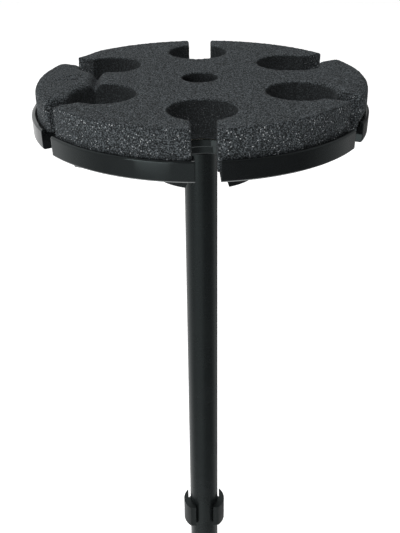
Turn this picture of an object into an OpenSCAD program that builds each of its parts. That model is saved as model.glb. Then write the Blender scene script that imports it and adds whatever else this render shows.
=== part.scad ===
// Stand-top tray with a keyholed foam pad that stores handheld microphones,
// screwed on an extension tube that carries a sliding cable clip.
// Origin: centre of the thread mouth at the tube's foot. +Z up, one slot faces -Y.

/* [Tray] */
// Outer radius of the rim at its lower edge
rim_r = 91.5; // [88:0.5:120]
// How much wider the rim is at its upper edge
rim_flare = 0.25; // [0:0.05:2]
// Height of the rim
rim_h = 10.5; // [8:0.5:14]
// Thickness of the rim, the slot walls and the collars
wall = 2; // [1.5:0.25:2.5]
// Thickness of the floor
floor_t = 2; // [1.5:0.25:2.5]
// Height of the floor's underside above the rim's lower edge
floor_gap = 1.7; // [1:0.1:3]
// Chamfer on the rim's upper and lower outer edges
rim_chamfer = 0.75; // [0.25:0.25:1]

/* [Keyholes] */
// Number of keyholes round the tray
keyhole_count = 6; // [3:1:6]
// Distance from the tray's axis to each round hole's centre
hole_pitch_r = 58.5; // [56:0.5:60]
// Radius of each round hole
hole_r = 17.2; // [14:0.2:18]
// Width of each entry slot
slot_w = 12; // [9:0.5:15]
// How far the slot walls stay below the rim's upper edge
slot_wall_drop = 2.5; // [0.5:0.5:4]
// Gap between a round hole and the collar under it
collar_gap = 6.4; // [4:0.2:6.6]
// Depth of each collar below the rim's lower edge
collar_drop = 6; // [4:0.5:7]
// Half width of the collar's opening at its lower edge
collar_mouth = 10.4; // [9:0.2:12]
// How much the opening narrows towards the floor, on each side
collar_mouth_rake = 3; // [1:0.5:4]

/* [Foam pad] */
// Thickness of the foam
foam_t = 21.1; // [18:0.1:27]
// Gap between the foam and the tray's walls
foam_clearance = 0.4; // [0.3:0.1:1]
// Radius of the hole in the middle of the foam
foam_centre_r = 9.7; // [9:0.1:12]
// Thickness of the adhesive film under the foam
film_t = 0.3; // [0.2:0.1:0.5]
// How far the film stays back from the floor's edges
film_margin = 1; // [0.5:0.25:3]

/* [Hub] */
// Outer radius of the hub's upper sleeve, inside the tray
hub_sleeve_r = 12; // [10.5:0.5:14]
// Radius of the hub's flange
hub_flange_r = 27; // [25:0.5:30]
// Thickness of the hub's flange
hub_flange_t = 2.5; // [2:0.25:3.5]
// Outer radius of the hub's lower sleeve
hub_nose_r = 11.5; // [10.5:0.5:13]
// Length of the hub's lower sleeve below the flange
hub_nose_l = 4.5; // [3:0.5:8]
// Thickness of the wall round the hub's upper sleeve
boss_wall = 4; // [2.5:0.5:5]
// Thickness of the ribs that join the boss to the rim
rib_t = 2; // [1.5:0.25:3]
// Distance from the axis to where the ribs start to rise
rib_deep_r = 40; // [35:1:45]
// Distance from the axis to where the ribs reach the rim's lower edge
rib_shallow_r = 60; // [50:1:70]

/* [Hub screws] */
// Distance from the axis to each screw
screw_pitch_r = 21.5; // [20.5:0.1:22]
// Radius of the screw thread
screw_r = 1.5; // [1.25:0.25:1.75]
// Length of the screw under its head
screw_l = 9; // [7:0.5:10]
// Radius of the screw head
screw_head_r = 2.8; // [2.5:0.1:3]
// Height of the screw head
screw_head_h = 2; // [1.5:0.1:2.4]
// Radius of the washer under the head
screw_washer_r = 3.4; // [3.2:0.1:3.6]
// Thickness of that washer
screw_washer_t = 0.5; // [0.4:0.1:0.8]
// How much narrower the head's face is than its rim, on each side
screw_head_taper = 0.7; // [0.3:0.1:1]
// Width of the cross recess in the head
screw_recess_w = 0.8; // [0.6:0.1:1]
// Length of each arm pair of the cross recess
screw_recess_l = 3.4; // [2.6:0.1:3.6]
// Depth of the cross recess
screw_recess_d = 1.1; // [0.8:0.1:1.3]
// Radius of the moulded post that each screw bites into
screw_post_r = 3.6; // [3:0.1:4]
// Gap between a screw and the flange's hole round it
screw_hole_gap = 0.2; // [0.1:0.05:0.3]

/* [Tube and threads] */
// Height of the tube's upper shoulder above the thread mouth
shoulder_h = 340; // [200:5:480]
// Outer radius of the tube
tube_r = 9.5; // [9.1:0.1:12]
// Wall of the tube
tube_wall = 1.2; // [1:0.1:1.4]
// Outer radius of the stand thread, 5/8 inch across
thread_r = 7.94; // [6.5:0.01:7.99]
// Pitch of the stand thread, 27 turns to the inch
thread_pitch = 0.94; // [0.8:0.01:1.5]
// Depth of the stand thread
thread_depth = 0.5; // [0.3:0.05:0.6]
// Gap between the male thread and a female one
thread_clearance = 0.05; // [0.03:0.01:0.09]
// Length of thread that stands above the hub
thread_spare = 8; // [4:1:16]
// Chamfer on the stud's end
stud_chamfer = 0.8; // [0.4:0.1:1.5]
// Thickness of the stud's collar
stud_collar_t = 2; // [1.5:0.5:4]
// Length of the stud's plug inside the tube
stud_plug_l = 20; // [12:1:40]
// Thickness of the friction washer under the hub
washer_t = 1; // [0.5:0.25:2]
// Length of the female thread in the foot
foot_thread_l = 16; // [12:1:24]
// Length of tube held in the foot
foot_grip_l = 14; // [10:1:24]
// Wall of the foot round the tube
foot_wall = 3; // [2:0.25:4]
// Number of grip flutes round the foot
flute_count = 24; // [12:2:36]
// Radius of each grip flute
flute_r = 0.8; // [0.5:0.1:1]
// Chamfer on the foot's ends
foot_chamfer = 1; // [0.5:0.25:1.5]

/* [Cable clip] */
// Height of the clip's lower edge above the thread mouth
clip_z = 62; // [35:1:180]
// Height of the clip
clip_h = 16.5; // [12:0.5:24]
// Wall of the clip at its sides
clip_wall = 4.5; // [3:0.25:6]
// Wall of the clip at its flat front
clip_front_wall = 0.7; // [0.4:0.1:1.5]
// Width of the opening in the clip's front
clip_mouth_w = 12; // [8:0.5:14]
// Gap between the clip and the tube
clip_clearance = 0.06; // [0.03:0.01:0.09]
// Half width of the notch across the clip's back
clip_notch_w = 10.9; // [10.5:0.1:12]
// Height of the notch in the clip's back
clip_notch_h = 8; // [4:0.5:10]
// Radius of the cable that the clip's rear hook holds
cable_r = 3.3; // [2.5:0.1:4]
// Wall of the rear hook
hook_wall = 1.8; // [1.2:0.1:2.5]
// Width of the rear hook's mouth
hook_mouth_w = 5; // [3:0.25:6]

/* [Hidden] */
$fn = 96;

// Cutters reach this far past what they cut
over = 5;
// The hub has one screw for each pair of screw nodes
screw_count = 3;
// Angle between neighbouring keyholes, and between neighbouring screws
keyhole_step = 360 / keyhole_count;
screw_step = 360 / screw_count;
// The first rib and the first screw lie midway between two keyholes
first_rib = keyhole_step / 2;

// Heights, from the tube's shoulder up
hub_bottom = shoulder_h + washer_t;
flange_bottom = hub_bottom + hub_nose_l;
flange_top = flange_bottom + hub_flange_t;
screw_seat = flange_bottom - screw_washer_t;
rim_z = flange_top + collar_drop;
floor_bottom = rim_z + floor_gap;
floor_top = floor_bottom + floor_t;
foam_bottom = floor_top + film_t;
rim_top = rim_z + rim_h;
slot_wall_top = rim_top - slot_wall_drop;
stud_top = floor_top + thread_spare;

// Radii that follow from the fits
female_r = thread_r + thread_clearance;
tube_bore_r = tube_r - tube_wall;
foot_r = tube_r + foot_wall;
boss_r = hub_sleeve_r + boss_wall;
inner_r = rim_r - wall;
foam_r = inner_r - foam_clearance;
clip_bore_r = tube_r + clip_clearance;
clip_r = clip_bore_r + clip_wall;
collar_r = hole_r + collar_gap;

// Centres of the hook and the tube's lower end
hook_bore_r = cable_r + clip_clearance;
hook_y = clip_r + hook_bore_r - hook_wall;
tube_bottom = foot_thread_l;
tube_top = shoulder_h - stud_collar_t;

// Copies its children round the tray, one for each keyhole
module each_keyhole(turn = 0) {
    for (i = [0:keyhole_count - 1])
        rotate([0, 0, turn + i * keyhole_step])
            children();
}

// Moves its children to the place of screw i, counted from 1
module at_screw(i) {
    rotate([0, 0, first_rib + (i - 1) * screw_step])
        translate([0, -screw_pitch_r, 0])
            children();
}

// Keyhole outlines with the round hole and the slot grown by their own margins
module keyholes(z, h, hole_grow, slot_grow) {
    each_keyhole() {
        translate([0, -hole_pitch_r, z])
            cylinder(r = hole_r + hole_grow, h = h);
        slot_bar(z, h, slot_grow);
    }
}

// Bar along one slot, from the round hole's centre outwards
module slot_bar(z, h, grow) {
    width = slot_w + 2 * grow;
    length = rim_r + rim_flare + over - hole_pitch_r;
    translate([-width / 2, -hole_pitch_r - length, z])
        cube([width, length, h]);
}

// Solid cone of the rim with its chamfered edges
module rim_body() {
    top_r = rim_r + rim_flare;
    translate([0, 0, rim_z])
        rotate_extrude()
            polygon([
                [0, 0],
                [rim_r - rim_chamfer, 0],
                [rim_r, rim_chamfer],
                [top_r, rim_h - rim_chamfer],
                [top_r - rim_chamfer, rim_h],
                [0, rim_h]
            ]);
}

// Space inside the rim above the floor, which leaves the slot walls standing
module upper_space() {
    slope = rim_flare / (rim_top - floor_top);
    difference() {
        translate([0, 0, floor_top])
            cylinder(
                r1 = inner_r,
                r2 = inner_r + rim_flare + slope * over,
                h = rim_top - floor_top + over
            );
        each_keyhole()
            difference() {
                slot_bar(floor_top - over, slot_wall_top - floor_top + over, wall);
                translate([0, -hole_pitch_r, floor_top - 2 * over])
                    cylinder(r = hole_r + wall, h = rim_h + 4 * over);
            }
    }
}

// Space under the floor, inside the rim and outside the keyhole walls
module lower_space() {
    difference() {
        translate([0, 0, rim_z - over])
            cylinder(r = inner_r, h = floor_gap + over);
        keyholes(rim_z - 2 * over, floor_gap + 3 * over, wall, wall);
    }
}

// C-shaped collar that hangs under one keyhole
module collar() {
    h = collar_drop + floor_gap + floor_t / 2;
    top_mouth = collar_mouth - collar_mouth_rake;
    slope = collar_mouth_rake / h;
    translate([0, -hole_pitch_r, rim_z - collar_drop])
        difference() {
            cylinder(r = collar_r + wall, h = h);
            translate([0, 0, -over])
                cylinder(r = collar_r, h = h + 2 * over);
            rotate([90, 0, 0])
                linear_extrude(height = collar_r + over)
                    polygon([
                        [-collar_mouth - slope * over, -over],
                        [collar_mouth + slope * over, -over],
                        [top_mouth - slope * over, h + over],
                        [slope * over - top_mouth, h + over]
                    ]);
        }
}

// Rib that runs from the boss to the rim, deep at the boss and shallow outside
module rib() {
    deep = rim_z - collar_drop;
    rotate([0, 0, -90])
        translate([0, rib_t / 2, 0])
            rotate([90, 0, 0])
                linear_extrude(height = rib_t)
                    polygon([
                        [hub_sleeve_r + boss_wall / 2, deep],
                        [rib_deep_r, deep],
                        [rib_shallow_r, rim_z],
                        [inner_r + wall / 2, rim_z],
                        [inner_r + wall / 2, floor_bottom + floor_t / 2],
                        [hub_sleeve_r + boss_wall / 2, floor_bottom + floor_t / 2]
                    ]);
}

// Moulded tray: rim, floor, slot walls, collars, ribs, boss and screw posts
module tray_shell() {
    boss_h = floor_bottom + floor_t / 2 - flange_top;
    color([0.03, 0.03, 0.035])
        difference() {
            union() {
                difference() {
                    rim_body();
                    upper_space();
                    lower_space();
                    keyholes(rim_z - over, rim_h + 2 * over, 0, 0);
                }
                each_keyhole()
                    collar();
                each_keyhole(first_rib)
                    rib();
                translate([0, 0, flange_top])
                    cylinder(r = boss_r, h = boss_h);
                for (i = [1:screw_count])
                    at_screw(i)
                        translate([0, 0, flange_top])
                            cylinder(r = screw_post_r, h = boss_h);
            }
            translate([0, 0, flange_top - over])
                cylinder(r = hub_sleeve_r, h = floor_top - flange_top + 2 * over);
            for (i = [1:screw_count])
                at_screw(i)
                    translate([0, 0, screw_seat - over])
                        cylinder(r = screw_r, h = screw_l + over);
        }
}

// Die-cut foam pad: it overhangs the slot walls and is rebated round them
module foam_pad() {
    rebate_h = slot_wall_top + foam_clearance - foam_bottom;
    color([0.16, 0.165, 0.175])
        difference() {
            translate([0, 0, foam_bottom])
                cylinder(r = foam_r, h = foam_t);
            keyholes(foam_bottom - over, foam_t + 2 * over, 0, 0);
            each_keyhole()
                slot_bar(foam_bottom - over, rebate_h + over, wall + foam_clearance);
            translate([0, 0, foam_bottom - over])
                cylinder(r = foam_centre_r, h = foam_t + 2 * over);
        }
}

// Adhesive film that holds the foam to the floor
module foam_film() {
    color([0.75, 0.74, 0.68])
        difference() {
            translate([0, 0, floor_top])
                cylinder(r = foam_r - film_margin, h = film_t);
            keyholes(floor_top - over, film_t + 2 * over, film_margin, wall + film_margin);
            translate([0, 0, floor_top - over])
                cylinder(r = hub_sleeve_r + film_margin, h = film_t + 2 * over);
        }
}

// Cast hub with the female stand thread, its flange screwed under the tray
module hub_flange_bush() {
    color([0.55, 0.55, 0.56])
        difference() {
            union() {
                translate([0, 0, hub_bottom])
                    cylinder(r = hub_nose_r, h = hub_nose_l + hub_flange_t / 2);
                translate([0, 0, flange_bottom])
                    cylinder(r = hub_flange_r, h = hub_flange_t);
                translate([0, 0, flange_bottom + hub_flange_t / 2])
                    cylinder(r = hub_sleeve_r, h = floor_top - flange_bottom - hub_flange_t / 2);
            }
            translate([0, 0, hub_bottom - over])
                cylinder(r = female_r, h = floor_top - hub_bottom + 2 * over);
            for (i = [1:screw_count])
                at_screw(i)
                    translate([0, 0, flange_bottom - over])
                        cylinder(r = screw_r + screw_hole_gap, h = hub_flange_t + 2 * over);
        }
}

// Pan-head screw with a cross recess
module hub_screw(i) {
    face_r = screw_head_r - screw_head_taper;
    face_z = screw_seat - screw_head_h;
    color([0.62, 0.62, 0.63])
        at_screw(i)
            difference() {
                union() {
                    translate([0, 0, screw_seat])
                        cylinder(r = screw_r, h = screw_l);
                    translate([0, 0, screw_seat - screw_head_h / 2])
                        cylinder(r = screw_head_r, h = screw_head_h / 2);
                    translate([0, 0, face_z])
                        cylinder(r1 = face_r, r2 = screw_head_r, h = screw_head_h / 2);
                }
                for (turn = [0, 90])
                    rotate([0, 0, turn])
                        translate([-screw_recess_l / 2, -screw_recess_w / 2, face_z - over])
                            cube([screw_recess_l, screw_recess_w, screw_recess_d + over]);
            }
}

// Flat washer between a screw's head and the flange
module hub_screw_washer(i) {
    color([0.7, 0.7, 0.71])
        at_screw(i)
            translate([0, 0, screw_seat])
                difference() {
                    cylinder(r = screw_washer_r, h = screw_washer_t);
                    translate([0, 0, -over])
                        cylinder(r = screw_r + screw_hole_gap, h = screw_washer_t + 2 * over);
                }
}

// Fibre washer that the hub turns on
module friction_washer() {
    color([0.35, 0.12, 0.08])
        translate([0, 0, shoulder_h])
            difference() {
                cylinder(r = tube_r, h = washer_t);
                translate([0, 0, -over])
                    cylinder(r = female_r, h = washer_t + 2 * over);
            }
}

// Steel stud: plug in the tube, collar on its end and male thread above
module thread_stud() {
    root_r = thread_r - thread_depth;
    length = stud_top - shoulder_h;
    turns = floor((length - stud_chamfer) / thread_pitch);
    color([0.05, 0.05, 0.055])
        union() {
            translate([0, 0, tube_top - stud_plug_l])
                cylinder(r = tube_bore_r, h = stud_plug_l + stud_collar_t / 2);
            translate([0, 0, tube_top])
                cylinder(r = tube_r, h = stud_collar_t);
            translate([0, 0, shoulder_h])
                rotate_extrude()
                    polygon(concat(
                        [[0, -stud_collar_t / 2], [root_r, -stud_collar_t / 2]],
                        [for (i = [0:turns - 1], crest = [0, 0.5])
                            [crest > 0 ? thread_r : root_r, (i + crest) * thread_pitch]],
                        [[root_r, turns * thread_pitch],
                         [root_r - stud_chamfer, length],
                         [0, length]]
                    ));
        }
}

// Drawn steel tube
module tube() {
    color([0.05, 0.05, 0.055])
        translate([0, 0, tube_bottom])
            difference() {
                cylinder(r = tube_r, h = tube_top - tube_bottom);
                translate([0, 0, -over])
                    cylinder(r = tube_bore_r, h = tube_top - tube_bottom + 2 * over);
            }
}

// Fluted coupler with the female stand thread, pressed on the tube's foot
module foot_coupler() {
    foot_h = foot_thread_l + foot_grip_l;
    color([0.08, 0.08, 0.085])
        difference() {
            rotate_extrude()
                polygon([
                    [0, 0],
                    [foot_r - foot_chamfer, 0],
                    [foot_r, foot_chamfer],
                    [foot_r, foot_h - foot_chamfer],
                    [foot_r - foot_chamfer, foot_h],
                    [0, foot_h]
                ]);
            translate([0, 0, -over])
                cylinder(r = female_r, h = foot_thread_l + 2 * over);
            translate([0, 0, tube_bottom])
                cylinder(r = tube_r, h = foot_grip_l + over);
            for (i = [0:flute_count - 1])
                rotate([0, 0, i * 360 / flute_count])
                    translate([foot_r + flute_r / 2, 0, 2 * foot_chamfer])
                        cylinder(r = flute_r, h = foot_h - 4 * foot_chamfer);
        }
}

// Snap-on clip: open at the front, notched at the back above its cable hook
module cable_clip() {
    front_y = clip_bore_r + clip_front_wall;
    hook_h = clip_h - clip_notch_h;
    color([0.06, 0.06, 0.065])
        translate([0, 0, clip_z])
            difference() {
                union() {
                    difference() {
                        cylinder(r = clip_r, h = clip_h);
                        translate([-clip_r - over, -front_y - 2 * over, -over])
                            cube([2 * (clip_r + over), 2 * over, clip_h + 2 * over]);
                        translate([-clip_notch_w, 0, hook_h])
                            cube([2 * clip_notch_w, clip_r + over, clip_notch_h + over]);
                    }
                    translate([0, hook_y, 0])
                        cylinder(r = hook_bore_r + hook_wall, h = hook_h);
                }
                translate([0, 0, -over])
                    cylinder(r = clip_bore_r, h = clip_h + 2 * over);
                translate([-clip_mouth_w / 2, -front_y - over, -over])
                    cube([clip_mouth_w, front_y + over, clip_h + 2 * over]);
                translate([0, hook_y, -over])
                    cylinder(r = hook_bore_r, h = hook_h + 2 * over);
                translate([-hook_mouth_w / 2, hook_y, -over])
                    cube([hook_mouth_w, hook_bore_r + hook_wall + over, hook_h + 2 * over]);
            }
}

tray_shell();
foam_pad();
foam_film();
hub_flange_bush();
hub_screw(1);  // hub_screw_1
hub_screw(2);  // hub_screw_2
hub_screw(3);  // hub_screw_3
hub_screw_washer(1);  // hub_screw_washer_1
hub_screw_washer(2);  // hub_screw_washer_2
hub_screw_washer(3);  // hub_screw_washer_3
friction_washer();
thread_stud();
tube();
foot_coupler();
cable_clip();
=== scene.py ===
"""Looks for the microphone holder tray: camera, soft studio light, materials and the detailed foam."""
import math

import bpy
import numpy as np
from mathutils import Matrix, Vector, noise


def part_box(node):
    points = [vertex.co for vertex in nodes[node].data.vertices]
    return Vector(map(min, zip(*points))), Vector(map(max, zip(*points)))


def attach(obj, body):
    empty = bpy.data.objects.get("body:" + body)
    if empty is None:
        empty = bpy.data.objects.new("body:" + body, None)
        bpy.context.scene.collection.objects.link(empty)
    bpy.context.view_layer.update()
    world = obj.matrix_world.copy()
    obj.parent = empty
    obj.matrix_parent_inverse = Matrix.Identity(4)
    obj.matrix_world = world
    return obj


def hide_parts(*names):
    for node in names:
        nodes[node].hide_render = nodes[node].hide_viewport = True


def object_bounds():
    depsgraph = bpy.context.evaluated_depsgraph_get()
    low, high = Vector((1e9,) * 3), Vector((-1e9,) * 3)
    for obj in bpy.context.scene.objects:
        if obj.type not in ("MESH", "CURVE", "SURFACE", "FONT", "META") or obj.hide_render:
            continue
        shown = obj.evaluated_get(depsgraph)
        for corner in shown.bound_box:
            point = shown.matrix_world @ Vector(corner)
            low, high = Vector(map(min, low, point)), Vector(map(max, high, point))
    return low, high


MM = 0.001
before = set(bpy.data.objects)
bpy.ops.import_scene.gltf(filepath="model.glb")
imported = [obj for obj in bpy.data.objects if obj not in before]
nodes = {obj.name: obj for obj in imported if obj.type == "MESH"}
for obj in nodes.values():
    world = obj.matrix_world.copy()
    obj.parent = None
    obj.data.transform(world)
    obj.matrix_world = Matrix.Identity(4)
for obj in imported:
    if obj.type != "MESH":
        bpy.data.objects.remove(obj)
cad_low, cad_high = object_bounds()
scene = bpy.context.scene

# Places that everything else is set from
TRAY_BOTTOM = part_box("tray_shell")[0].z
FOAM_LOW, FOAM_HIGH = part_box("foam_pad")
# The collars hang this far below the rim's lower edge
COLLAR_DROP = 6 * MM
RIM_Z = TRAY_BOTTOM + COLLAR_DROP
CENTRE = (0, 0, RIM_Z)
# The foam's rough edge stays inside its CAD box
FOAM_INSET = 0.3 * MM
FOAM_R = FOAM_HIGH.x - FOAM_INSET
# Keyholes: how many, the circle that they are on, the round hole and the slot
KEYHOLES = 6
HOLE_PITCH_R = 58.5 * MM
HOLE_R = 17.2 * MM
SLOT_W = 12 * MM
CENTRE_HOLE_R = 9.7 * MM

# The camera stands a little to the left of the front slot
VIEW_TURN = math.radians(2.1)


# ---------------------------------------------------------------- camera
CAMERA_DISTANCE = 455.4 * MM
CAMERA_HEIGHT = 147.1 * MM
CAMERA_PITCH = math.radians(27.61)
CAMERA_ROLL = math.radians(-0.62)
CAMERA_YAW = math.radians(-0.14)
SENSOR_WIDTH = 36
LENS = 57.17
CLIP_START = 10 * MM


def add_camera():
    """Camera above the rim and just left of the front slot, looking down on the foam."""
    forward = Vector((
        math.sin(CAMERA_YAW) * math.cos(CAMERA_PITCH),
        math.cos(CAMERA_YAW) * math.cos(CAMERA_PITCH),
        -math.sin(CAMERA_PITCH),
    ))
    right = Vector((math.cos(CAMERA_YAW), -math.sin(CAMERA_YAW), 0))
    up = right.cross(forward)
    rolled_right = math.cos(CAMERA_ROLL) * right + math.sin(CAMERA_ROLL) * up
    rolled_up = math.cos(CAMERA_ROLL) * up - math.sin(CAMERA_ROLL) * right
    basis = Matrix((rolled_right, rolled_up, -forward)).transposed().to_4x4()
    place = Matrix.Translation((0, -CAMERA_DISTANCE, CAMERA_HEIGHT)) @ basis
    turn = Matrix.Rotation(-VIEW_TURN, 4, "Z")
    data = bpy.data.cameras.new("camera")
    data.sensor_fit = "AUTO"
    data.sensor_width = SENSOR_WIDTH
    data.lens = LENS
    data.clip_start = CLIP_START
    camera = bpy.data.objects.new("camera", data)
    camera.matrix_world = Matrix.Translation(CENTRE) @ turn @ place
    scene.collection.objects.link(camera)
    scene.camera = camera


# ---------------------------------------------------------------- light and stage
# Brightness of the room from the front (0) over the sides (0.5) to the back (1)
ROOM_STOPS = [(0.0, 0.22), (0.33, 0.16), (0.41, 0.27), (0.5, 0.47), (0.67, 0.8), (1.0, 0.9)]
# Brightness of the background that the camera sees
VIEW_WHITE = 1.1
# The room's right side is shaded: where the shade sets in, and its strength from low y to high y
SHADE_X = (0.0, 0.35)
SHADE_Y = (0.4, 0.75)
SHADE = (0.47, 0.88)
# A soft panel at the front left, and how it fades towards the side
PANEL_TOWARDS = (-0.68, -0.73)
PANEL_EDGE = (0.5, 0.72)
PANEL_GLOW = 0.24
PANEL_FADE_Y = (-0.1, -0.6)
PANEL_FADE = 0.3
# The room is white straight below, like a table top
TABLE_Z = (-0.72, -0.85)
FLOOR_GLOW = 0.55
FLOOR_PAINT = 0.9
FLOOR_ROUGHNESS = 0.8
FLOOR_HALF = 6.0
FLOOR_GAP = 0.3 * MM
STRIP_Z = 265 * MM


def add_area(name, place, target, size, power):
    """Soft rectangular light that looks at target."""
    data = bpy.data.lights.new(name, "AREA")
    data.shape = "RECTANGLE"
    data.size, data.size_y = size
    data.energy = power
    light = bpy.data.objects.new(name, data)
    place, target = Vector(place), Vector(target)
    aim = (target - place).to_track_quat("-Z", "Y").to_matrix().to_4x4()
    light.matrix_world = Matrix.Translation(place) @ aim
    scene.collection.objects.link(light)
    return light


class Room:
    """Builds the world's nodes: white for the view, a softer room for light and reflections."""

    def __init__(self):
        world = bpy.data.worlds.new("studio")
        scene.world = world
        world.use_nodes = True
        self.tree = world.node_tree
        self.tree.nodes.clear()
        direction = self.tree.nodes.new("ShaderNodeTexCoord").outputs["Generated"]
        split = self.tree.nodes.new("ShaderNodeSeparateXYZ")
        self.tree.links.new(direction, split.inputs[0])
        self.direction = direction
        self.x, self.y, self.z = split.outputs

    def remap(self, value, low, high, start=0.0, end=1.0):
        """start where value is low, end where it is high."""
        made = self.tree.nodes.new("ShaderNodeMapRange")
        settings = {"From Min": low, "From Max": high, "To Min": start, "To Max": end}
        for key, number in settings.items():
            made.inputs[key].default_value = number
        self.tree.links.new(value, made.inputs["Value"])
        return made.outputs["Result"]

    def math(self, operation, a, b):
        """The operation on two sockets or numbers."""
        made = self.tree.nodes.new("ShaderNodeMath")
        made.operation = operation
        for socket, value in zip(made.inputs, (a, b)):
            if isinstance(value, float):
                socket.default_value = value
            else:
                self.tree.links.new(value, socket)
        return made.outputs[0]

    def facing(self, x, y):
        """How nearly the direction is the level direction (x, y)."""
        made = self.tree.nodes.new("ShaderNodeVectorMath")
        made.operation = "DOT_PRODUCT"
        made.inputs[1].default_value = (x, y, 0)
        self.tree.links.new(self.direction, made.inputs[0])
        return made.outputs["Value"]

    def depth_ramp(self, stops):
        """Brightness from the front over the sides to the back."""
        ramp = self.tree.nodes.new("ShaderNodeValToRGB")
        elements = ramp.color_ramp.elements
        while len(elements) < len(stops):
            elements.new(0.5)
        for element, (position, tone) in zip(elements, stops):
            element.position = position
            element.color = (tone, tone, tone, 1)
        self.tree.links.new(self.remap(self.y, -1, 1), ramp.inputs["Fac"])
        return ramp.outputs["Color"]

    def finish(self, brightness):
        """Plain white for the camera, and the room's brightness for everything else."""
        out = self.tree.nodes.new("ShaderNodeOutputWorld")
        mix = self.tree.nodes.new("ShaderNodeMixShader")
        path = self.tree.nodes.new("ShaderNodeLightPath")
        room = self.tree.nodes.new("ShaderNodeBackground")
        seen = self.tree.nodes.new("ShaderNodeBackground")
        seen.inputs["Color"].default_value = (1, 1, 1, 1)
        seen.inputs["Strength"].default_value = VIEW_WHITE
        self.tree.links.new(brightness, room.inputs["Strength"])
        room.inputs["Color"].default_value = (1, 1, 1, 1)
        self.tree.links.new(path.outputs["Is Camera Ray"], mix.inputs["Fac"])
        self.tree.links.new(room.outputs[0], mix.inputs[1])
        self.tree.links.new(seen.outputs[0], mix.inputs[2])
        self.tree.links.new(mix.outputs[0], out.inputs["Surface"])


def add_world():
    """A room that is dim in front and on the right, brighter at the back, the front left and below."""
    room = Room()
    right = room.remap(room.x, *SHADE_X)
    strength = room.remap(room.y, *SHADE_Y, *SHADE)
    unshaded = room.math("SUBTRACT", 1.0, room.math("MULTIPLY", right, strength))
    light = room.math("MULTIPLY", room.depth_ramp(ROOM_STOPS), unshaded)
    panel = room.remap(room.facing(*PANEL_TOWARDS), *PANEL_EDGE, 0.0, PANEL_GLOW)
    fade = room.remap(room.y, *PANEL_FADE_Y, PANEL_FADE, 1.0)
    panel = room.math("MULTIPLY", panel, fade)
    table = room.remap(room.z, *TABLE_Z)
    room.finish(room.math("ADD", room.math("ADD", light, panel), table))


def add_floor():
    """Wide pale floor at the foot of the tube."""
    mesh = bpy.data.meshes.new("floor")
    z = cad_low[2] - FLOOR_GAP
    corners = [(x * FLOOR_HALF, y * FLOOR_HALF, z) for x, y in ((-1, -1), (1, -1), (1, 1), (-1, 1))]
    mesh.from_pydata(corners, [], [(0, 1, 2, 3)])
    floor = bpy.data.objects.new("floor", mesh)
    scene.collection.objects.link(floor)
    material = bpy.data.materials.new("floor_paint")
    material.use_nodes = True
    shader = material.node_tree.nodes["Principled BSDF"]
    shader.inputs["Base Color"].default_value = (FLOOR_PAINT, FLOOR_PAINT, FLOOR_PAINT, 1)
    shader.inputs["Roughness"].default_value = FLOOR_ROUGHNESS
    shader.inputs["Emission Color"].default_value = (1, 1, 1, 1)
    shader.inputs["Emission Strength"].default_value = FLOOR_GLOW
    mesh.materials.append(material)
    floor.visible_glossy = False


def add_lights():
    """A large soft light overhead, one at each of the front left and the left, and a low strip."""
    overhead = add_area("top_softbox", (-0.1, 0.45, 1.85), CENTRE, (1.6, 1.6), 12.8)
    overhead.visible_glossy = False
    add_area("front_softbox", (-0.9, -1.2, RIM_Z + 0.9), CENTRE, (0.9, 0.6), 9)
    left = add_area("left_softbox", (-1.3, -0.1, 0.8), CENTRE, (0.7, 1.2), 3)
    left.visible_glossy = False
    # The low strip stands level in front of the tray and draws the highlight on its rim
    add_area("low_strip", (-0.37, -0.59, STRIP_Z), (0, 0, STRIP_Z), (0.27, 0.35), 0.30)


# ---------------------------------------------------------------- materials
# Black parts reflect a slightly cool light
NEUTRAL = (1, 1, 1)
COOL = (0.84, 1.0, 1.0)
# Foam: its cells' tones, a lighter tone on the sawn outer face, painted shade on the cut walls of the holes
# and slots, and painted glints
FOAM_DARK = (0.006, 0.007, 0.0075)
FOAM_MID = (0.022, 0.0255, 0.0275)
FOAM_LIGHT = (0.105, 0.119, 0.128)
FOAM_SAWN = (0.003, 0.0034, 0.0036)
# Painted shade: the cut walls of the holes and slots are darkened and flattened to this tone
FOAM_CUT_WALL_SHADE = (0.014, 0.016, 0.017)
# Painted glints: bright cells that stand for strands catching the light
FOAM_PAINTED_GLINT = (0.75, 0.78, 0.8)
CUT_SHADE = 0.75
# Strength of the painted glints on the front of the top, where the front light falls
TOP_PAINTED_GLINT = 0.3
# Cells per metre, and how deep they look
FOAM_GRAIN = 1500
FOAM_CELLS = 1600
FOAM_GRAIN_DEPTH = 0.5 * MM
# The outer walls' lighter tone and painted glints grow between these distances in from the foam's edge;
# further in, the walls get painted shade
OUTER_WALL_IN = (16 * MM, 3 * MM)
# A face counts as a wall as its normal's height falls from one value to the other
WALL_NORMAL = (0.9, 0.3)
# A painted glint fills a cell's middle, in the cells whose random tone is high
PAINTED_GLINT_CORE = (0.5, 0.2)
PAINTED_GLINT_RARE = (0.90, 0.99)


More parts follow.
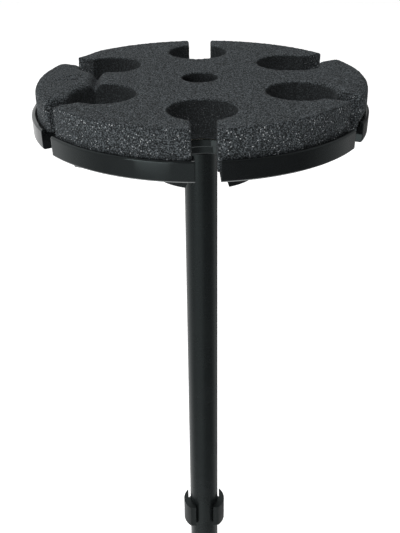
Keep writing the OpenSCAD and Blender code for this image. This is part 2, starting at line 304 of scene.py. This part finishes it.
class Shade:
    """Small helper that builds a node material."""

    def __init__(self, name, color, roughness, metallic=0.0):
        self.material = bpy.data.materials.new(name)
        self.material.use_nodes = True
        self.tree = self.material.node_tree
        self.shader = self.tree.nodes["Principled BSDF"]
        self.shader.inputs["Base Color"].default_value = (*color, 1)
        self.shader.inputs["Roughness"].default_value = roughness
        self.shader.inputs["Metallic"].default_value = metallic

    def node(self, kind, **settings):
        """New node with its properties set."""
        made = self.tree.nodes.new(kind)
        for key, value in settings.items():
            setattr(made, key, value)
        return made

    def link(self, a, b):
        self.tree.links.new(a, b)

    def coords(self):
        """Place on the object, in metres."""
        return self.node("ShaderNodeTexCoord").outputs["Object"]

    def noise(self, scale, detail=3.0, roughness=0.5):
        """Cloudy noise with this many features to the metre."""
        made = self.node("ShaderNodeTexNoise")
        made.inputs["Scale"].default_value = scale
        made.inputs["Detail"].default_value = detail
        made.inputs["Roughness"].default_value = roughness
        self.link(self.coords(), made.inputs["Vector"])
        return made.outputs["Fac"]

    def voronoi(self, scale):
        """Round cells, this many to the metre."""
        made = self.node("ShaderNodeTexVoronoi", feature="F1")
        made.inputs["Scale"].default_value = scale
        self.link(self.coords(), made.inputs["Vector"])
        return made

    def ramp(self, value, stops):
        """Maps value through (position, grey or colour) stops."""
        made = self.node("ShaderNodeValToRGB")
        elements = made.color_ramp.elements
        while len(elements) < len(stops):
            elements.new(0.5)
        for element, (position, tone) in zip(elements, stops):
            element.position = position
            element.color = (tone, tone, tone, 1) if isinstance(tone, (int, float)) else (*tone, 1)
        self.link(value, made.inputs["Fac"])
        return made.outputs["Color"]

    def math(self, operation, a, b):
        """The operation on two sockets or numbers."""
        made = self.node("ShaderNodeMath", operation=operation)
        for socket, value in zip(made.inputs, (a, b)):
            if isinstance(value, (int, float)):
                socket.default_value = value
            else:
                self.link(value, socket)
        return made.outputs[0]

    def remap(self, value, low, high):
        """0 where value is low, 1 where it is high."""
        made = self.node("ShaderNodeMapRange")
        made.inputs["From Min"].default_value = low
        made.inputs["From Max"].default_value = high
        self.link(value, made.inputs["Value"])
        return made.outputs["Result"]

    def mix(self, amount, a, b, blend="MIX"):
        """Colour a turning into colour b."""
        made = self.node("ShaderNodeMix", data_type="RGBA", blend_type=blend)
        for socket, value in ((made.inputs[0], amount), (made.inputs[6], a), (made.inputs[7], b)):
            if isinstance(value, tuple):
                socket.default_value = (*value, 1)
            else:
                self.link(value, socket)
        return made.outputs[2]

    def bump(self, height, distance, strength=1.0, normal=None):
        """Normal disturbed by the height, on top of another normal if one is given."""
        made = self.node("ShaderNodeBump")
        made.inputs["Strength"].default_value = strength
        made.inputs["Distance"].default_value = distance
        self.link(height, made.inputs["Height"])
        if normal is not None:
            self.link(normal, made.inputs["Normal"])
        return made.outputs["Normal"]


def moulded_plastic(name, color, roughness, grain, depth, edge=0.0, tint=NEUTRAL, specular=0.5):
    """Moulded plastic or paint: faint grain, uneven gloss and, where edge is set, rounded edges."""
    s = Shade(name, color, roughness)
    s.shader.inputs["Specular Tint"].default_value = (*tint, 1)
    s.shader.inputs["Specular IOR Level"].default_value = specular
    gloss = s.ramp(s.noise(70, 4), [(0.3, roughness * 0.8), (0.75, roughness * 1.35)])
    s.link(gloss, s.shader.inputs["Roughness"])
    rounded = None
    if edge:
        bevel = s.node("ShaderNodeBevel", samples=8)
        bevel.inputs["Radius"].default_value = edge
        rounded = bevel.outputs["Normal"]
    s.link(s.bump(s.noise(grain, 3), depth, 1.0, rounded), s.shader.inputs["Normal"])
    return s


def cast_metal(name, color, roughness, grain, depth):
    """Plated metal: cloudy plating, uneven gloss and a fine cast grain."""
    s = Shade(name, color, roughness, 1.0)
    dark = tuple(0.72 * c for c in color)
    s.link(s.ramp(s.noise(180, 4), [(0.3, dark), (0.7, color)]), s.shader.inputs["Base Color"])
    gloss = s.ramp(s.noise(320, 3), [(0.3, roughness * 0.75), (0.7, roughness * 1.3)])
    s.link(gloss, s.shader.inputs["Roughness"])
    s.link(s.bump(s.noise(grain, 3), depth), s.shader.inputs["Normal"])
    return s


def foam_material():
    """Open-cell foam: fine dark cells, with painted glints on the outer walls and the front of the top and
    painted shade on the walls of the holes and slots.
    """
    s = Shade("foam_cells", FOAM_MID, 0.85)
    s.shader.inputs["Specular IOR Level"].default_value = 0.2
    fine = s.noise(FOAM_GRAIN, 2, 0.6)
    tone = s.ramp(fine, [(0.37, FOAM_DARK), (0.5, FOAM_MID), (0.63, FOAM_LIGHT)])
    place = s.node("ShaderNodeSeparateXYZ")
    s.link(s.coords(), place.inputs[0])
    flat = s.node("ShaderNodeCombineXYZ")
    s.link(place.outputs["X"], flat.inputs["X"])
    s.link(place.outputs["Y"], flat.inputs["Y"])
    radius = s.node("ShaderNodeVectorMath", operation="LENGTH")
    s.link(flat.outputs[0], radius.inputs[0])
    outer = s.remap(radius.outputs["Value"], *(FOAM_R - inwards for inwards in OUTER_WALL_IN))
    normal = s.node("ShaderNodeSeparateXYZ")
    s.link(s.node("ShaderNodeNewGeometry").outputs["Normal"], normal.inputs[0])
    upright = s.remap(normal.outputs["Z"], *WALL_NORMAL)
    # The outer walls get a lighter tone and the painted glints
    outer_wall = s.math("MULTIPLY", outer, upright)
    tone = s.mix(outer_wall, tone, s.mix(outer_wall, tone, FOAM_SAWN, "ADD"))
    # Painted shade: the walls of the holes and slots are darkened and their grain flattened
    cut = s.math("MULTIPLY", s.math("SUBTRACT", 1.0, outer), upright)
    tone = s.mix(s.math("MULTIPLY", cut, CUT_SHADE), tone, FOAM_CUT_WALL_SHADE)
    # Painted glints: bright middles in a few cells, on the outer walls and the front of the top
    cell = s.voronoi(FOAM_CELLS)
    core = s.remap(cell.outputs["Distance"], *PAINTED_GLINT_CORE)
    pick = s.node("ShaderNodeSeparateColor")
    s.link(cell.outputs["Color"], pick.inputs[0])
    rare = s.remap(pick.outputs[0], *PAINTED_GLINT_RARE)
    # The front of the top gets painted glints too, as the light comes from the front
    front = s.remap(place.outputs["Y"], 0, -FOAM_R)
    amount = s.math("MAXIMUM", outer_wall, s.math("MULTIPLY", front, TOP_PAINTED_GLINT))
    painted_glint = s.math("MULTIPLY", s.math("MULTIPLY", core, rare), amount)
    s.link(s.mix(painted_glint, tone, FOAM_PAINTED_GLINT), s.shader.inputs["Base Color"])
    s.link(s.bump(fine, FOAM_GRAIN_DEPTH, 0.7), s.shader.inputs["Normal"])
    return s


# ---------------------------------------------------------------- foam
# The pad sits turned in the tray, and its back slot is cut a little off centre and wide
FOAM_TURN = math.radians(1.0)
BACK_SLOT_SHIFT = -1.6 * MM
BACK_SLOT_HALF = 6.8 * MM
# Points along each round hole, each sector's outer edge and the centre hole
HOLE_POINTS = 60
SECTOR_POINTS = 40
CENTRE_POINTS = 48
SECTOR_SPAN = math.radians(52)
# Size of the remeshed faces, and rounds of rounding at the edges and on the side blocks
CELL = 0.9 * MM
EDGE_ROUNDS = 2
SIDE_ROUNDS = 34
RIGHT_SOFTNESS = 0.8
# Fine roughness of the surface: features to the metre, and height
ROUGH_SCALES = (1400, 700)
ROUGH_HEIGHT = 0.16 * MM

# Heights below are measured from the rim's lower edge. A pair is where a change starts and ends.
# Side blocks: distance from the tray's axis and half angle
BLOCK_X = (52 * MM, 66 * MM)
BLOCK_ANGLE = (30, 34)
# Valley across the left neck, from one hole to the other
VALLEY_START = (-57.0 * MM, 12 * MM)
VALLEY_END = (-56.0 * MM, -15 * MM)
VALLEY_OVERRUN = 0.25
VALLEY_FADE = 4 * MM
VALLEY_W = 2.2 * MM
VALLEY_SHARPNESS = 1.3
VALLEY_DEPTH = 4.0 * MM
VALLEY_HEIGHTS = (6 * MM, 24 * MM)
# The pressed foam beside the valley
SWELL = 1.0 * MM
SWELL_REACH = 13 * MM
# The holes' walls where they fold in at the valley
FOLD = 2.0 * MM
FOLD_Y = (6 * MM, 13 * MM)
FOLD_HEIGHTS = (2 * MM, 20 * MM)
# The left block's belly, out and into the slot in front of it
BELLY_OUT = 1.6 * MM
BELLY_FORWARD = 2.6 * MM
BELLY_HEIGHT = 15 * MM
BELLY_SPREAD = 8 * MM
BELLY_Y = (10 * MM, 40 * MM)
# The right block's bulge over the rim
BULGE = 1.5 * MM
BULGE_HEIGHTS = (9 * MM, 15 * MM)
# Worn corner of the block behind the left one, in degrees round the tray
WORN_AZIMUTH = 144
WORN_SPREAD = 7
WORN_END = 4
WORN_RADII = (72 * MM, 86 * MM)
WORN = 0.034
# Creases on the left block's top: y and slope of each at CREASE_X
CREASES = ((4 * MM, 0.06), (-3 * MM, 0.05))
CREASE_X = -70 * MM
CREASE_W = 1.1 * MM
CREASE_DEPTH = 0.9 * MM
CREASE_FROM = (-80 * MM, -76 * MM)
CREASE_TO = (-66 * MM, -62 * MM)
CREASE_HEIGHTS = (18 * MM, 22 * MM)


def smoothstep(low, high, value):
    """0 below low, 1 above high and a smooth rise between them."""
    t = np.clip((value - low) / (high - low), 0, 1)
    return t * t * (3 - 2 * t)


def turned(points, angle):
    """Points turned about Z."""
    c, s = np.cos(angle), np.sin(angle)
    x, y, z = points.T
    return np.stack([c * x - s * y, s * x + c * y, z], 1)


def relax(points, edges, weights, rounds):
    """Moves each point towards the mean of its neighbours, which rounds the edges."""
    a, b = edges.T
    count = np.bincount(np.concatenate([a, b]), minlength=len(points)).astype(float)
    for _ in range(rounds):
        mean = np.empty_like(points)
        for axis in range(3):
            values = points[:, axis]
            total = np.bincount(a, values[b], len(points)) + np.bincount(b, values[a], len(points))
            mean[:, axis] = total / count
        points = points + (0.5 * weights)[:, None] * (mean - points)
    return points


def side_sector(points, side):
    """1 inside the block between the two keyholes at the left (-1) or right (1), 0 elsewhere."""
    x, y = points[:, 0] * side, points[:, 1]
    reach = smoothstep(*BLOCK_X, x)
    spread = 1 - smoothstep(*BLOCK_ANGLE, np.abs(np.degrees(np.arctan2(y, x))))
    return reach * spread


def fold_neck(points):
    """Folds the left neck: a valley across it, swollen foam beside it, hole walls drawn in."""
    x, y, z = points.T
    along = (y - VALLEY_START[1]) / (VALLEY_END[1] - VALLEY_START[1])
    along = np.clip(along, -VALLEY_OVERRUN, 1 + VALLEY_OVERRUN)
    middle = VALLEY_START[0] + along * (VALLEY_END[0] - VALLEY_START[0])
    beyond = np.maximum(0, np.maximum(y - VALLEY_START[1], VALLEY_END[1] - y))
    gap = (x - middle) / VALLEY_W
    dip = np.exp(-np.abs(gap) ** VALLEY_SHARPNESS) * np.exp(-(beyond / VALLEY_FADE) ** 2)
    deep = smoothstep(*VALLEY_HEIGHTS, z - RIM_Z)
    z = z - VALLEY_DEPTH * dip * deep
    swell = np.exp(-(((x - middle) ** 2 + 0.5 * y ** 2) / SWELL_REACH ** 2)) * deep
    z = z + SWELL * swell * (1 - dip)
    inwards = -np.sign(y) * smoothstep(*FOLD_Y, np.abs(y))
    y = y + FOLD * dip * inwards * smoothstep(*FOLD_HEIGHTS, z - RIM_Z)
    return np.stack([x, y, z], 1)


def bulge_sides(points):
    """Bulges the left block into the slot in front of it, and the right block over the rim."""
    left, right = side_sector(points, -1), side_sector(points, 1)
    belly = np.exp(-((points[:, 2] - RIM_Z - BELLY_HEIGHT) / BELLY_SPREAD) ** 2)
    front = smoothstep(*BELLY_Y, -points[:, 1])
    points[:, 0] += left * belly * front * BELLY_OUT
    points[:, 1] -= left * belly * front * BELLY_FORWARD
    points[:, 0] += right * smoothstep(*BULGE_HEIGHTS, points[:, 2] - RIM_Z) * BULGE


def wear_corner(points):
    """Draws in the worn corner of the block behind the left one."""
    azimuth = np.degrees(np.arctan2(points[:, 1], points[:, 0]))
    worn = np.exp(-((azimuth - WORN_AZIMUTH) / WORN_SPREAD) ** 2) * (azimuth < WORN_AZIMUTH + WORN_END)
    worn = worn * smoothstep(*WORN_RADII, np.hypot(points[:, 0], points[:, 1]))
    points[:, :2] *= (1 - WORN * worn)[:, None]


def crease_top(points):
    """Presses the shallow creases into the left block's top."""
    for offset, slope in CREASES:
        line = offset + slope * (points[:, 0] - CREASE_X)
        crease = np.exp(-((points[:, 1] - line) / CREASE_W) ** 2)
        span = smoothstep(*CREASE_FROM, points[:, 0]) * (1 - smoothstep(*CREASE_TO, points[:, 0]))
        top = smoothstep(*CREASE_HEIGHTS, points[:, 2] - RIM_Z)
        points[:, 2] -= CREASE_DEPTH * crease * span * top


def squeeze(points):
    """The foam as it sits: its neck folded, its side blocks bulging, a corner worn, its top creased."""
    points = fold_neck(turned(points, VIEW_TURN))
    bulge_sides(points)
    wear_corner(points)
    crease_top(points)
    return turned(points, -VIEW_TURN)


def foam_outline():
    """Closed outline of the die-cut foam, keyhole by keyhole round the tray."""
    outline = []
    for k in range(KEYHOLES):
        angle = 2 * math.pi * k / KEYHOLES - FOAM_TURN
        out = Vector((math.sin(angle), -math.cos(angle)))
        across = Vector((math.cos(angle), math.sin(angle)))
        shift, half = (BACK_SLOT_SHIFT, BACK_SLOT_HALF) if k == KEYHOLES // 2 else (0, SLOT_W / 2)
        centre = out * HOLE_PITCH_R
        first, last = (math.asin((shift + side * half) / HOLE_R) for side in (-1, 1))
        mouth = [math.sqrt(FOAM_R ** 2 - (shift + side * half) ** 2) for side in (-1, 1)]
        outline.append(out * mouth[0] + across * (shift - half))
        for turn in np.linspace(2 * math.pi + first, last, HOLE_POINTS):
            outline.append(centre + HOLE_R * (out * math.cos(turn) + across * math.sin(turn)))
        outline.append(out * mouth[1] + across * (shift + half))
        start = angle + math.asin((shift + half) / FOAM_R)
        for turn in np.linspace(start, start + SECTOR_SPAN, SECTOR_POINTS)[1:-1]:
            outline.append(Vector((math.sin(turn), -math.cos(turn))) * FOAM_R)
    return outline


def finished_mesh(piece):
    """The mesh of a curve, or of an object with its modifiers applied."""
    return bpy.data.meshes.new_from_object(piece.evaluated_get(bpy.context.evaluated_depsgraph_get()))


def foam_block(material):
    """The foam's plain block: its outline and centre hole, extruded and remeshed finely."""
    curve = bpy.data.curves.new("foam_cut", "CURVE")
    curve.dimensions = "2D"
    curve.fill_mode = "BOTH"
    curve.extrude = (FOAM_HIGH.z - FOAM_LOW.z) / 2
    around = np.linspace(0, 2 * math.pi, CENTRE_POINTS + 1)[:-1]
    hole = [Vector((math.cos(turn), math.sin(turn))) * CENTRE_HOLE_R for turn in around]
    for points in (foam_outline(), hole):
        spline = curve.splines.new("POLY")
        spline.points.add(len(points) - 1)
        for target, point in zip(spline.points, points):
            target.co = (point.x, point.y, 0, 1)
        spline.use_cyclic_u = True
    cut = bpy.data.objects.new("foam_cut", curve)
    scene.collection.objects.link(cut)
    solid = finished_mesh(cut)
    bpy.data.objects.remove(cut)
    solid.transform(Matrix.Translation((0, 0, (FOAM_HIGH.z + FOAM_LOW.z) / 2)))
    piece = bpy.data.objects.new("foam", solid)
    scene.collection.objects.link(piece)
    remesh = piece.modifiers.new("cells", "REMESH")
    remesh.mode = "VOXEL"
    remesh.voxel_size = CELL
    mesh = finished_mesh(piece)
    piece.modifiers.clear()
    piece.data = mesh
    mesh.materials.clear()
    mesh.materials.append(material)
    return piece


def make_foam(material):
    """The foam pad: the cut block softened, squeezed and roughened."""
    piece = foam_block(material)
    mesh = piece.data
    count = len(mesh.vertices)
    points = np.empty(count * 3)
    mesh.vertices.foreach_get("co", points)
    points = points.reshape(-1, 3)
    edges = np.empty(len(mesh.edges) * 2, dtype=np.int64)
    mesh.edges.foreach_get("vertices", edges)
    edges = edges.reshape(-1, 2)
    soft = np.maximum(side_sector(points, -1), RIGHT_SOFTNESS * side_sector(points, 1))
    points = relax(points, edges, soft, SIDE_ROUNDS)
    points = relax(points, edges, np.ones(count), EDGE_ROUNDS)
    points = squeeze(points)
    rough = np.array([sum(noise.noise(Vector(p) * scale) for scale in ROUGH_SCALES) for p in points])
    mesh.vertices.foreach_set("co", points.ravel())
    mesh.update()
    normals = np.empty(count * 3)
    mesh.vertices.foreach_get("normal", normals)
    points = points + normals.reshape(-1, 3) * (rough * ROUGH_HEIGHT)[:, None]
    mesh.vertices.foreach_set("co", points.ravel())
    mesh.update()
    for polygon in mesh.polygons:
        polygon.use_smooth = True
    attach(piece, "tray")
    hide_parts("foam_pad")


def paint(node, shade):
    """Gives a carried-over CAD piece its material."""
    mesh = nodes[node].data
    mesh.materials.clear()
    mesh.materials.append(shade.material)
    for polygon in mesh.polygons:
        polygon.material_index = 0


add_camera()
add_world()
add_floor()
add_lights()

gloss_black = moulded_plastic(
    "tray_gloss", (0.006, 0.0065, 0.007), roughness=0.08, grain=900, depth=0.002 * MM,
    edge=0.7 * MM, tint=COOL,
)
satin_black = moulded_plastic(
    "clip_satin", (0.006, 0.0068, 0.007), roughness=0.4, grain=2500, depth=0.02 * MM,
    tint=COOL, specular=0.36,
)
tube_paint = moulded_plastic(
    "tube_paint", (0.0072, 0.0085, 0.0088), roughness=0.25, grain=1500, depth=0.008 * MM,
    tint=COOL, specular=0.45,
)
fibre = moulded_plastic("red_fibre", (0.2, 0.04, 0.02), roughness=0.6, grain=2000, depth=0.02 * MM)
film = moulded_plastic("film", (0.6, 0.58, 0.5), roughness=0.3, grain=500, depth=0.01 * MM)
zinc = cast_metal("zinc", (0.5, 0.5, 0.51), roughness=0.4, grain=1500, depth=0.03 * MM)
black_steel = cast_metal("blackened_steel", (0.03, 0.03, 0.032), roughness=0.35, grain=3000, depth=0.008 * MM)
steel = cast_metal("bright_steel", (0.58, 0.58, 0.6), roughness=0.28, grain=3000, depth=0.008 * MM)

paint("tray_shell", gloss_black)
paint("cable_clip", satin_black)
paint("tube", tube_paint)
paint("foot_coupler", satin_black)
paint("hub_flange_bush", zinc)
paint("thread_stud", black_steel)
for name in nodes:
    if name.startswith("hub_screw"):
        paint(name, steel)
paint("friction_washer", fibre)
paint("foam_film", film)
make_foam(foam_material().material)

scene.view_settings.view_transform = "Standard"
